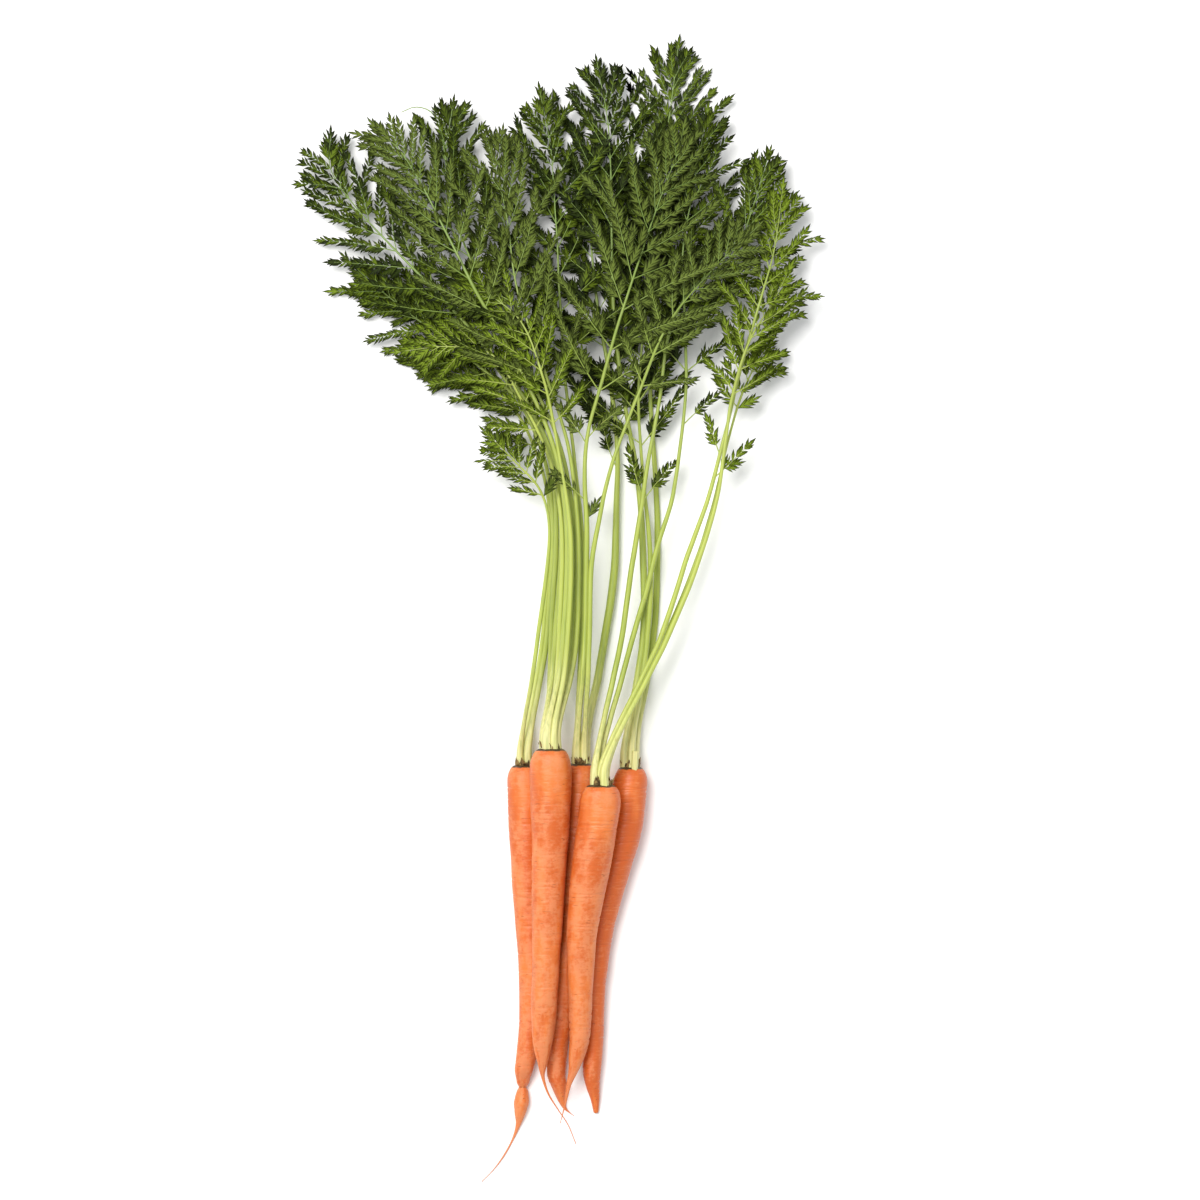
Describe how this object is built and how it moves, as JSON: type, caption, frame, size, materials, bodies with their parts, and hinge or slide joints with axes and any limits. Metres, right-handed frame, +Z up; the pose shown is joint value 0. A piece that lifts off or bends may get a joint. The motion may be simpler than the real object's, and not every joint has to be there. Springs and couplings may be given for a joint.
{
  "type": "bunch of carrots",
  "caption": "Bunch of fresh orange carrots lying flat, with long green stalks fanning out into feathery leaves.",
  "frame": {"origin": "on the surface that the bunch lies on, under the middle of the whole bunch", "axes": "+Y from the root tips towards the leaf tips, +X to the right seen from above, +Z up"},
  "size_m": [0.2801, 0.6468, 0.0438],
  "materials": {
    "root_skin": "satin",
    "leaf_green": "matte"
  },
  "bodies": {
    "root": {"root_left": "root_skin", "root_middle": "root_skin", "root_right": "root_skin", "root_front_left": "root_skin", "root_front_right": "root_skin", "leaf_left_1": "leaf_green", "leaf_left_2": "leaf_green", "leaf_left_3": "leaf_green", "leaf_front_left_1": "leaf_green", "leaf_front_left_2": "leaf_green", "leaf_front_left_3": "leaf_green", "leaf_front_left_4": "leaf_green", "leaf_front_left_5": "leaf_green", "leaf_front_left_6": "leaf_green", "leaf_front_left_7": "leaf_green", "leaf_middle_1": "leaf_green", "leaf_middle_2": "leaf_green", "leaf_middle_3": "leaf_green", "leaf_middle_4": "leaf_green", "leaf_front_right_1": "leaf_green", "leaf_front_right_2": "leaf_green", "leaf_front_right_3": "leaf_green", "leaf_front_right_4": "leaf_green", "leaf_front_right_5": "leaf_green", "leaf_right_1": "leaf_green", "leaf_right_2": "leaf_green", "leaf_right_3": "leaf_green"}
  },
  "joints": []
}
